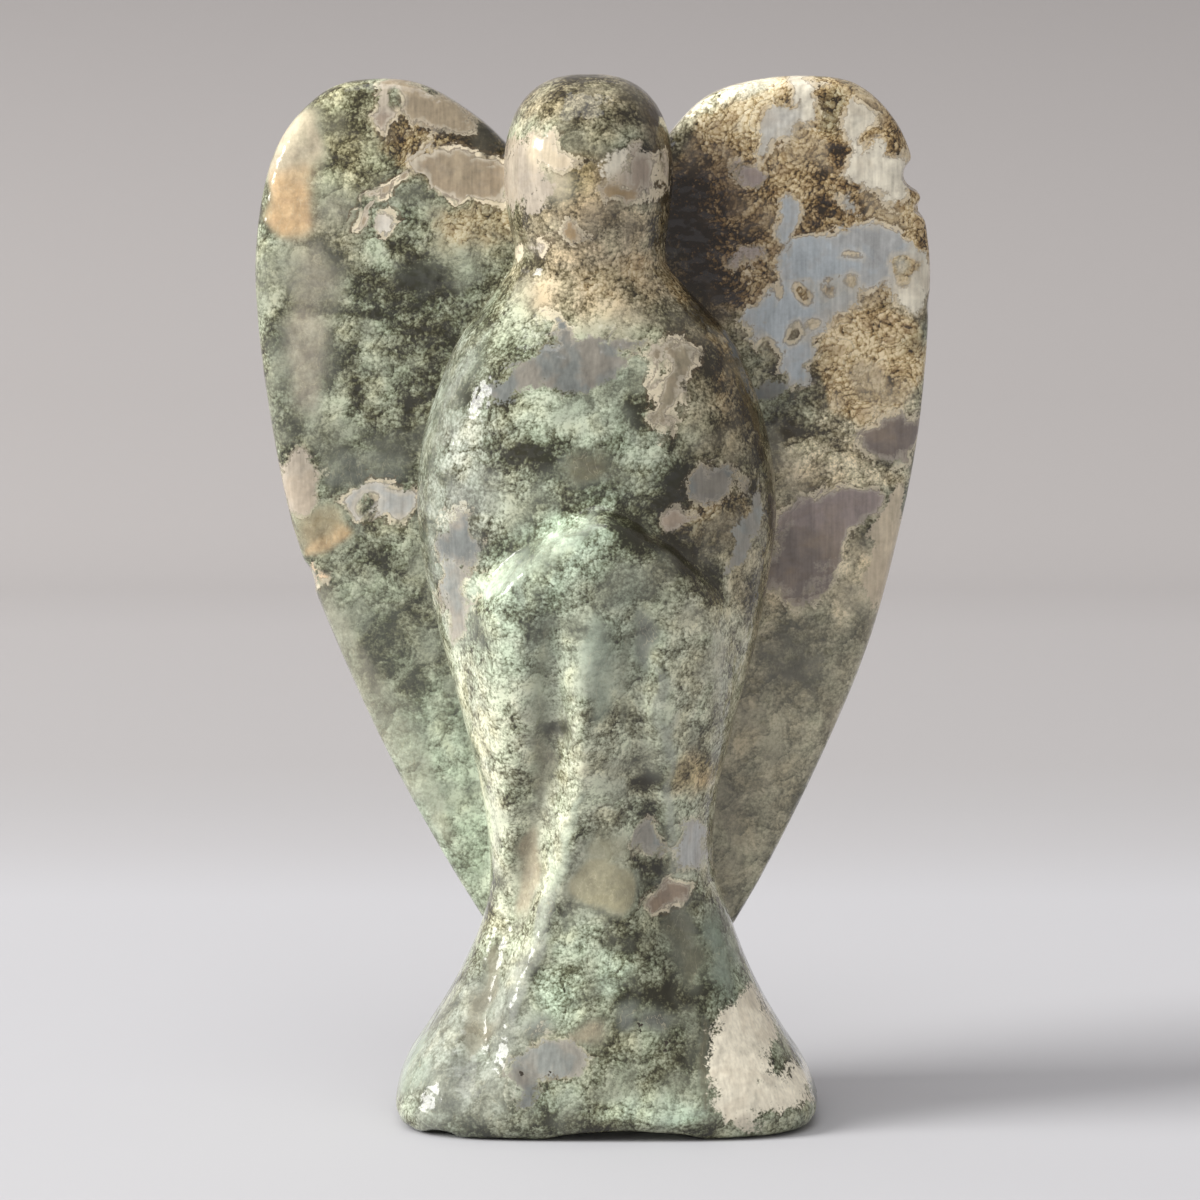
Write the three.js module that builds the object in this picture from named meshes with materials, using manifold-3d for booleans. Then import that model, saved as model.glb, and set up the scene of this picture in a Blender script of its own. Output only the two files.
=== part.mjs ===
// A standing angel with folded wings, cut from one block of moss agate and polished all over.
// Units are millimetres and +Z is up. The angel stands on Z = 0, looks along -Y, and its left hand side
// in these names is the viewer's left, -X.
// The figure is one loft from the hem to the top of the head. Its relief (sleeves, folds, ridges) is pressed
// into the front of that loft. The wings are two thick plates, and everything is joined into one solid.
import * as THREE from "three";
import { mergeVertices } from "three/addons/utils/BufferGeometryUtils.js";
import Module from "manifold-3d";

// Driving dimensions of the figure
const HEAD_TOP = 98.8;
const HEAD_WIDEST = 88.5; // the crown closes from this height up
const CROWN_SQUARENESS = 2.6; // exponent of the crown's outline: 2 would be an ellipse
const CROWN_FLAT_ANGLE = 84; // degrees up the crown at which the small flat on top begins

// Outline of the figure, as [height, distance from the middle plane] pairs
const LEFT_EDGE = [
  [0, -17.6], [0.5, -18.5], [1.8, -18.9], [4.9, -18], [7.7, -16.3], [11.5, -13.9], [15.4, -11.9],
  [19.2, -10.4], [24, -9.8], [30.6, -10.5], [38.2, -12.3], [45.8, -14.4], [53.4, -16.1], [59, -16.6],
  [65, -16], [70.5, -14.2], [74.3, -12.5], [78.2, -9.4], [81.5, -7.3], [85, -7.9], [89, -8.35], [100, -8.35],
];
const RIGHT_EDGE = [
  [0, 19.8], [0.5, 21], [1.8, 21.5], [4.9, 20.2], [7.7, 18.4], [11.5, 16.2], [15.4, 14.4],
  [19.2, 13], [24, 11.5], [30.6, 11.8], [38.2, 13.5], [45.8, 15.5], [53.4, 16.9], [59, 17.3],
  [65, 16.5], [70.5, 14.8], [74.3, 13], [78.2, 9.4], [81, 6.9], [85, 7.1], [89, 7.5], [100, 7.5],
];
const FRONT_EDGE = [
  [0, -11.6], [0.5, -12.5], [1.8, -13], [7, -12.2], [15, -10.8], [24, -9.8], [34, -10.4], [45, -11.4],
  [56, -11.6], [64, -11.2], [72, -9.8], [78, -7.8], [81.5, -7.4], [86, -8.4], [90, -8.7], [100, -8.7],
];
const BACK_EDGE = [
  [0, 10.6], [0.5, 11.5], [1.8, 12], [7, 11], [15, 9.2], [24, 8.2], [45, 8.6], [64, 8.6], [78, 7.2],
  [84, 7], [89, 7.6], [100, 7.6],
];
// Squareness of the level sections: 2 is an ellipse, and more is a rounded rectangle
const SECTION_SQUARENESS = [[0, 4], [4, 3.4], [9, 2.7], [20, 2.3], [60, 2.25], [82, 2.1], [100, 2.1]];

// The praying sleeves: a ledge shaped like a wide upside-down V, high in the middle of the chest
const SLEEVE_TOP = 59.5;
const SLEEVE_MIDDLE = 0.7; // X of its apex
const SLEEVE_SLOPE = 0.5; // fall per millimetre to either side, near the apex
const SLEEVE_CURL = 0.026; // and how fast that fall steepens
const SLEEVE_HALF_SPAN = [9.6, 12.8]; // the ledge is full as far as the first, and gone at the second
const SLEEVE_ROUND = 1.1; // how softly its apex turns
const SLEEVE_PROUD = 2.8; // how far the sleeves stand out of the chest
const LEDGE_DROP = 2.3; // height of the ledge's rounded face
const SLEEVE_FADE = [25, 48]; // below the second height the sleeves melt into the robe, by the first
const MOST_DROP = 10.5;
const DROP_SPAN = [30, 80]; // the mesh rows bend with the V between these heights

// Folds of the robe, as lines of [X, Z] on the front. A positive depth is a groove, a negative one a ridge.
const FOLDS = [
  {
    name: "left groove", depth: 2, width: 1.35,
    line: [
      [-3.6, 53], [-3.6, 46], [-3.7, 40], [-4.2, 35], [-5, 30], [-6.1, 24], [-7.8, 18.6], [-9.4, 13.2],
      [-10.8, 7], [-11.6, 3],
    ],
  },
  {
    name: "right groove", depth: 1.5, width: 1.25,
    line: [
      [3.9, 53], [3.9, 46.3], [3.6, 41.8], [3.8, 37.2], [4.5, 32], [5.1, 27], [6.4, 22], [8.3, 17.4],
      [10.6, 12],
    ],
  },
  {
    name: "left knee ridge", depth: -1, width: 0.9,
    line: [
      [-1, 48], [-1.3, 42], [-1.1, 36.5], [-1.5, 31], [-2.7, 26], [-4, 22], [-5.6, 18], [-7.2, 14.6],
      [-8.7, 11], [-10, 6.5],
    ],
  },
  {
    name: "right knee ridge", depth: -0.7, width: 1.2,
    line: [
      [6.4, 48], [6.2, 43], [6.2, 38], [6.6, 34], [7.6, 29.5], [8.9, 24], [10.3, 18.7], [11.4, 14.6],
      [12.8, 9.6],
    ],
  },
  {
    name: "left hem ridge", depth: -0.5, width: 1.3,
    line: [[-9.6, 38], [-8.4, 30], [-8.6, 24], [-10.4, 17], [-13.2, 10], [-15.6, 4]],
  },
];
const FOLD_TAPER = 0.16; // share of a fold's length over which each end fades

// Soft swellings of the chest, as the middle, the reach and the height of each
const SWELLINGS = [
  { name: "left shoulder", x: -9.6, z: 70.5, reach: 4.2, height: 1 },
  { name: "right shoulder", x: 10.2, z: 70, reach: 4.2, height: 0.9 },
  { name: "chest", x: -2.5, z: 66.5, reach: 4.5, height: 0.5 },
];

// The wings: outlines as [X, Z], from the root behind the head, over the top and down to the tip
const LEFT_WING = [
  [-4, 87], [-8.5, 92.5], [-12.2, 95.6], [-16.5, 97.9], [-20.9, 98.3], [-25, 97.4], [-28.7, 94.1],
  [-30.9, 89.7], [-32.1, 83], [-32.1, 76.3], [-30.9, 66.1], [-28.7, 55.2], [-24.8, 44.8], [-19.8, 33.8],
  [-14.7, 24.4], [-10.4, 17.4],
];
const RIGHT_WING = [
  [3.8, 88.5], [7.6, 93.6], [11, 96.8], [15.4, 98.2], [20, 98.6], [24.6, 98], [28, 95.3], [30.2, 91.2],
  [31.9, 83.2], [32.1, 77], [31.2, 65.1], [29.2, 54.4], [26.2, 43.5], [21.4, 32.1], [16.1, 21.5], [11.6, 14],
];
const WING_TIP_ROUND = 2.2; // how far the tips turn below their last outline point
const WING_BACK = 10.4; // Y of the flat backs
const WING_THICK = 7.9; // at the spine
const WING_THINNING = 0.085; // the front faces slope back by this much for each millimetre from the spine
const WING_RIM = 1.7; // radius of the polished rim
const WING_OVERLAP = 0.45; // each wing passes the middle by this much, which leaves a V groove down the back
const SPINE_BOTTOM = 21;
const SPINE_TOP = 82;

// Chips broken out of the front edge of the wings' rims: centre and half sizes of each rounded hollow
const RIM_CHIPS = [
  { x: 31.8, z: 89.2, size: [2.7, 8.5, 1.8] },
  { x: 31.8, z: 86, size: [1.5, 5, 0.9] },
  { x: 33, z: 76.8, size: [1.3, 4.5, 1.6] },
  { x: -28, z: 96.8, size: [1.6, 4, 1.4] },
  { x: -27.9, z: 50.4, size: [1.4, 4.5, 1.9] },
];
const RIM_CHIP_Y = 5.2; // Y of their middles
// Shallow hollows under the hem where the block was cut unevenly: centre and half sizes
const HEM_HOLLOWS = [
  { x: 3, y: -13.2, size: [7.6, 5, 0.95] },
  { x: -14.6, y: -12, size: [2.2, 3.4, 0.75] },
];

// Fineness of the figure's mesh
const COLUMNS = 68;
const FRONT_CROWDING = 0.5; // columns stand closer on the front by this share

const smooth = THREE.MathUtils.smoothstep;

// Reads a profile of [height, value] pairs at a height, along a smooth curve through its points.
function at(profile, height) {
  const last = profile.length - 2;
  let i = 0;
  while (i < last && height > profile[i + 1][0]) i++;
  const [z0, a] = profile[i];
  const [z1, b] = profile[i + 1];
  const slope = (j) => {
    const [lowZ, low] = profile[Math.max(j - 1, 0)];
    const [highZ, high] = profile[Math.min(j + 1, profile.length - 1)];
    return (high - low) / (highZ - lowZ);
  };
  const span = z1 - z0;
  const t = THREE.MathUtils.clamp((height - z0) / span, 0, 1);
  const s = t * t * (3 - 2 * t);
  return a + (b - a) * s + span * t * (1 - t) * (slope(i) * (1 - t) - slope(i + 1) * t);
}

// Share of the head's width that is left at a height on the crown.
function crown(height) {
  const up = Math.max(height - HEAD_WIDEST, 0) / (HEAD_TOP - HEAD_WIDEST);
  return Math.pow(Math.max(1 - Math.pow(up, CROWN_SQUARENESS), 0), 1 / CROWN_SQUARENESS);
}

// A point of the plain figure, without its relief. The angle runs from the front towards +X.
function figurePoint(angle, height) {
  const left = at(LEFT_EDGE, height);
  const right = at(RIGHT_EDGE, height);
  const power = 2 / at(SECTION_SQUARENESS, height);
  const across = Math.sin(angle);
  const ahead = Math.cos(angle);
  const depth = at(ahead > 0 ? FRONT_EDGE : BACK_EDGE, height) * crown(height);
  const halfWidth = ((right - left) / 2) * crown(height);
  return new THREE.Vector3(
    (left + right) / 2 + halfWidth * Math.sign(across) * Math.pow(Math.abs(across), power),
    depth * Math.pow(Math.abs(ahead), power),
    height,
  );
}

// How far the sleeves' V has fallen below its apex at a distance from the middle.
function sleeveDrop(x) {
  const away = Math.hypot(x - SLEEVE_MIDDLE, SLEEVE_ROUND) - SLEEVE_ROUND;
  return Math.min(SLEEVE_SLOPE * away + SLEEVE_CURL * away * away, MOST_DROP);
}

// How far the sleeves stand out. The level is the height before the V's fall.
function sleeveRelief(x, level, height) {
  const [full, gone] = SLEEVE_HALF_SPAN;
  const sideways = 1 - smooth(Math.abs(x - SLEEVE_MIDDLE), full, gone + (SLEEVE_TOP - level) * 0.1);
  const below = THREE.MathUtils.clamp((SLEEVE_TOP - level) / LEDGE_DROP, 0, 1);
  return SLEEVE_PROUD * sideways * Math.sin((below * Math.PI) / 2) * smooth(height, ...SLEEVE_FADE);
}

const foldLines = FOLDS.map(({ line, depth, width }) => ({
  points: new THREE.SplineCurve(line.map(([x, z]) => new THREE.Vector2(x, z))).getPoints(48),
  depth,
  width,
}));

// Depth of all the folds at a point of the front.
function foldRelief(x, z) {
  let sum = 0;
  const here = new THREE.Vector2(x, z);
  for (const { points, depth, width } of foldLines) {
    let nearest = Infinity;
    let share = 0;
    points.forEach((point, i) => {
      const distance = point.distanceTo(here);
      if (distance < nearest) {
        nearest = distance;
        share = i / (points.length - 1);
      }
    });
    const ends = smooth(share, 0, FOLD_TAPER) * smooth(1 - share, 0, FOLD_TAPER);
    sum -= depth * ends * Math.exp(-0.5 * (nearest / width) ** 2);
  }
  return sum;
}

function swellingRelief(x, z) {
  return SWELLINGS.reduce(
    (sum, s) => sum + s.height * Math.exp(-0.5 * ((x - s.x) ** 2 + (z - s.z) ** 2) / s.reach ** 2),
    0,
  );
}

// A point of the carved figure. The rows bend with the sleeves' V, so that the ledge runs along them.
function carvedPoint(angle, level) {
  const front = smooth(Math.cos(angle), 0, 0.4);
  const [bottom, top] = DROP_SPAN;
  const bend = smooth(level, bottom, SLEEVE_TOP) * (1 - smooth(level, SLEEVE_TOP + 2, top));
  const height = level - sleeveDrop(figurePoint(angle, level).x) * bend * front;
  const point = figurePoint(angle, height);
  const sleeves = sleeveRelief(point.x, level, height);
  point.y -= (sleeves + foldRelief(point.x, height) + swellingRelief(point.x, height)) * front;
  return point;
}

// Heights from one value to another, without the first.
function steps(from, to, count) {
  return Array.from({ length: count }, (_, i) => from + ((to - from) * (i + 1)) / count);
}

function rowHeights() {
  const flat = THREE.MathUtils.degToRad(CROWN_FLAT_ANGLE);
  const crownRows = steps(0, flat, 9).map((a) => HEAD_WIDEST + (HEAD_TOP - HEAD_WIDEST) * Math.sin(a));
  return [
    0, 0.5, 1.8,
    ...steps(1.8, 55.5, 28),
    ...steps(55.5, SLEEVE_TOP, 5),
    ...steps(SLEEVE_TOP, 62, 2),
    ...steps(62, HEAD_WIDEST, 14),
    ...crownRows,
  ];
}

// Splits each four-sided cell of the figure's wall along its shorter diagonal, so crests stay clean.
function splitCells(geometry, cells) {
  const { index } = geometry;
  const corner = (i) => new THREE.Vector3().fromBufferAttribute(geometry.getAttribute("position"), i);
  for (let first = 0; first < cells * 6; first += 6) {
    const [a, b, d, , c] = Array.from({ length: 6 }, (_, k) => index.getX(first + k));
    if (corner(a).distanceTo(corner(c)) >= corner(b).distanceTo(corner(d))) continue;
    [a, b, c, a, c, d].forEach((vertex, k) => index.setX(first + k, vertex));
  }
}

// The figure: a closed cylinder whose every vertex is moved to its place on the carving.
function figureGeometry() {
  const rows = rowHeights();
  const geometry = new THREE.CylinderGeometry(1, 1, 1, COLUMNS, rows.length - 1);
  const position = geometry.getAttribute("position");
  for (let i = 0; i < position.count; i++) {
    const across = position.getX(i);
    const ahead = position.getZ(i);
    const level = rows[Math.round((0.5 + position.getY(i)) * (rows.length - 1))];
    const even = Math.atan2(across, ahead);
    const point = carvedPoint(even - FRONT_CROWDING * Math.sin(even), level);
    if (Math.hypot(across, ahead) < 0.5) point.set(figurePoint(0, level).x, 0, level);
    position.setXYZ(i, point.x, point.y, point.z);
  }
  splitCells(geometry, COLUMNS * (rows.length - 1));
  return geometry;
}

// One wing: a plate with a round rim, whose front face slopes back towards the tip.
function wingGeometry(outline) {
  const side = Math.sign(outline[0][0]);
  const past = -side * WING_OVERLAP;
  const [tipX, tipZ] = outline.at(-1);
  const shape = new THREE.Shape();
  shape.moveTo(past, SPINE_TOP);
  shape.lineTo(...outline[0]);
  shape.splineThru(outline.slice(1).map(([x, z]) => new THREE.Vector2(x, z)));
  shape.quadraticCurveTo(tipX - side * 1.2, tipZ - WING_TIP_ROUND, tipX - side * 4, tipZ);
  shape.lineTo(past, SPINE_BOTTOM);
  const geometry = new THREE.ExtrudeGeometry(shape, {
    depth: WING_THICK - 2 * WING_RIM,
    bevelThickness: WING_RIM,
    bevelSize: WING_RIM,
    bevelOffset: -WING_RIM,
    bevelSegments: 3,
    curveSegments: 3,
  });
  geometry.rotateX(Math.PI / 2);
  geometry.translate(0, WING_BACK - WING_RIM, 0);
  const middle = WING_BACK - WING_THICK / 2;
  const position = geometry.getAttribute("position");
  for (let i = 0; i < position.count; i++) {
    if (position.getY(i) > middle) continue;
    position.setY(i, position.getY(i) + WING_THINNING * Math.abs(position.getX(i)));
  }
  return geometry;
}

const wasm = await Module();
wasm.setup();

// A closed geometry as a solid that can be joined and cut.
function solid(geometry) {
  const bare = geometry.clone();
  bare.deleteAttribute("normal");
  bare.deleteAttribute("uv");
  const merged = mergeVertices(bare, 1e-3);
  return new wasm.Manifold(
    new wasm.Mesh({
      numProp: 3,
      vertProperties: merged.getAttribute("position").array,
      triVerts: new Uint32Array(merged.index.array),
    }),
  );
}

function geometryOf(manifold) {
  const mesh = manifold.getMesh();
  const geometry = new THREE.BufferGeometry();
  geometry.setAttribute("position", new THREE.BufferAttribute(mesh.vertProperties, 3));
  geometry.setIndex(new THREE.BufferAttribute(mesh.triVerts, 1));
  geometry.computeVertexNormals();
  return geometry;
}

function hollowGeometry({ x, y = RIM_CHIP_Y, z = 0, size }) {
  return new THREE.SphereGeometry(1, 16, 8).scale(...size).translate(x, y, z);
}

const cuts = [...RIM_CHIPS, ...HEM_HOLLOWS].map(hollowGeometry);
const carved = [figureGeometry(), wingGeometry(LEFT_WING), wingGeometry(RIGHT_WING)]
  .map(solid)
  .reduce((whole, piece) => whole.add(piece));
const stone = cuts.map(solid).reduce((whole, cut) => whole.subtract(cut), carved);

const mossAgate = new THREE.MeshStandardMaterial({ color: 0x8f9a86, roughness: 0.18, metalness: 0 });
const angel = new THREE.Mesh(geometryOf(stone), mossAgate);
angel.name = "angel_carving";
angel.geometry.computeBoundingBox();
const middle = angel.geometry.boundingBox.getCenter(new THREE.Vector3());
angel.position.set(-middle.x, -middle.y, 0); // the origin is under the middle of the carving

const carving = new THREE.Group();
carving.add(angel);

export default carving;
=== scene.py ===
"""A moss agate angel: one block of stone, carved and polished, standing on a pale table.

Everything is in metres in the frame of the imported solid. Places on the stone are given in its own
millimetres: X to the right, Z up from the table, and Y towards the back."""

import math

import bmesh
import bpy
import numpy as np
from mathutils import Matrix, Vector, noise


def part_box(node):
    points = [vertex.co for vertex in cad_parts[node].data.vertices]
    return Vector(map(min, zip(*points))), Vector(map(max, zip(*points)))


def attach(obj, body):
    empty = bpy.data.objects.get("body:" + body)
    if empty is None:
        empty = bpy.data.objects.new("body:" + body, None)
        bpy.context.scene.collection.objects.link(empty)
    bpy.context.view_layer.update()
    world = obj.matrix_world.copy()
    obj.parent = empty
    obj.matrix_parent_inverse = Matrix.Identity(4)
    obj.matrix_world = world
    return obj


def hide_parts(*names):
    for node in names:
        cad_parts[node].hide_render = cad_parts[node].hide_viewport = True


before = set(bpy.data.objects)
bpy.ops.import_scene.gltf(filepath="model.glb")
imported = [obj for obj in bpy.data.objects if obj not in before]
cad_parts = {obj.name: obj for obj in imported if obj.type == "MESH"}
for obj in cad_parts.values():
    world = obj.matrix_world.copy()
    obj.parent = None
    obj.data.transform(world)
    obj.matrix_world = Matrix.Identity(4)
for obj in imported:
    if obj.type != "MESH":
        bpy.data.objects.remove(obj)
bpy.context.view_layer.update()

# The angel's form
# The real piece is a slab of moss agate cut with diamond wheels, ground, and tumbled until every
# edge is soft. So the faceted solid is turned into a fine, even skin and its facets are rubbed away.
MM = 0.001
SKIN_CELL = 0.43 * MM
RUBBING_PASSES = 12
RUB_IN, RUB_OUT = 0.6, -0.62


def fine_skin(node):
    """A copy of the node's mesh, with its loose triangles joined, remade as small even quads."""
    rough = bpy.data.objects.new("rough_block", node.data.copy())
    bpy.context.scene.collection.objects.link(rough)
    block = bmesh.new()
    block.from_mesh(rough.data)
    bmesh.ops.remove_doubles(block, verts=block.verts, dist=0.001 * MM)
    block.to_mesh(rough.data)
    block.free()
    remesh = rough.modifiers.new("even skin", "REMESH")
    remesh.mode = "VOXEL"
    remesh.voxel_size = SKIN_CELL
    made = bpy.data.meshes.new_from_object(rough.evaluated_get(bpy.context.evaluated_depsgraph_get()))
    bpy.data.objects.remove(rough)
    return made


def numbers(data, name, width, kind=float):
    """One property of every vertex or edge, as rows of numbers."""
    found = np.empty(len(data) * width, kind)
    data.foreach_get(name, found)
    return found.reshape(-1, width)


def rub_down(points, edges, passes):
    """Moves each point towards the middle of its neighbours and almost all the way back, so that
    facets go and the size stays."""
    ends = np.concatenate([edges, edges[:, ::-1]])
    count = np.bincount(ends[:, 0], minlength=len(points))[:, None]
    for _ in range(passes):
        for share in (RUB_IN, RUB_OUT):
            total = [np.bincount(ends[:, 0], points[ends[:, 1], axis], len(points)) for axis in range(3)]
            points = points + share * (np.stack(total, 1) / count - points)
    return points


skin = fine_skin(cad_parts["angel_carving"])
places = rub_down(numbers(skin.vertices, "co", 3), numbers(skin.edges, "vertices", 2, int), RUBBING_PASSES)
lowest, highest = (np.array(corner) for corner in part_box("angel_carving"))
places = np.clip(places, lowest, highest)
skin.vertices.foreach_set("co", places.ravel())
skin.update()
skin.shade_smooth()
angel = bpy.data.objects.new("angel", skin)
bpy.context.scene.collection.objects.link(angel)
on_stone = places / MM

# The stone's own marks
# Moss agate is grey chalcedony full of green and brown inclusions. Where it is clear it shows as a
# window, often with a cream rind, and near the rim it turns orange, tan or white. Each mark is an
# ellipse on a face of the stone: its middle X and Z, its half sizes and its lean to the left.
FACES = {
    "body": lambda y: 2.2 - y,
    "wing": lambda y: np.minimum(y - 1.2, 8.2 - y),
    "rim": lambda y: y - 1.2,
    "back": lambda y: y - 7.6,
}


# No mark is a true ellipse: its outline wanders by a millimetre or so, the same way in each run
WANDER, WANDER_SIZE = 1.1, 2.8
WANDER_SEED = 1
noise.seed_set(WANDER_SEED)
astray = np.array([noise.noise_vector(Vector(point) / WANDER_SIZE) for point in on_stone])
wandered = on_stone + WANDER * astray


def inside(face, middle, reach, lean=0):
    """How far each point of the skin is inside an ellipse, in mm, and less than 0 outside it."""
    across, up = wandered[:, 0] - middle[0], wandered[:, 2] - middle[1]
    turn = math.radians(lean)
    along = across * math.cos(turn) + up * math.sin(turn)
    over = up * math.cos(turn) - across * math.sin(turn)
    share = np.hypot(along / reach[0], over / reach[1]) + 1e-6
    radius = np.where(share < 0.05, min(reach), np.hypot(along, over) / share)
    return np.minimum((1 - share) * radius, FACES[face](on_stone[:, 1]))


def soft(depth, edge):
    """0 outside a mark and 1 inside it, changing over a soft edge."""
    share = np.clip(0.5 + depth / (2 * edge), 0, 1)
    return share * share * (3 - 2 * share)


def srgb(*levels):
    """A colour as it looks on a screen, from 0 to 255, as the light that it gives off."""
    return np.array([((level / 255 + 0.055) / 1.055) ** 2.4 for level in levels])


# The stone's few colours, for its clear parts and its moss
MILK, PALE_GREY, GREY = srgb(206, 203, 193), srgb(181, 182, 177), srgb(142, 145, 139)
SLATE, DEEP_SLATE, ROSY = srgb(114, 117, 113), srgb(98, 100, 95), srgb(162, 148, 132)
MAUVE, DARK_MAUVE, BEIGE = srgb(150, 137, 131), srgb(124, 113, 105), srgb(174, 163, 146)
OCHRE, CREAM, WARM_CREAM = srgb(156, 134, 98), srgb(228, 221, 201), srgb(204, 190, 164)
ORANGE, OLIVE, GREEN = srgb(224, 188, 142), srgb(168, 162, 132), srgb(135, 138, 121)
SAGE, MINT, TAN = srgb(147, 155, 139), srgb(166, 180, 162), srgb(158, 144, 121)
BROWN, STRAW, TEAL = srgb(104, 77, 48), srgb(194, 180, 154), srgb(130, 141, 127)
KHAKI, LAKE, DARK_OLIVE = srgb(138, 129, 108), srgb(178, 185, 188), srgb(104, 98, 76)
CHALK, FROST, INK = srgb(244, 236, 214), srgb(192, 205, 186), srgb(52, 46, 38)
LICHEN, DARK_TAN = srgb(166, 167, 149), srgb(140, 124, 106)

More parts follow.
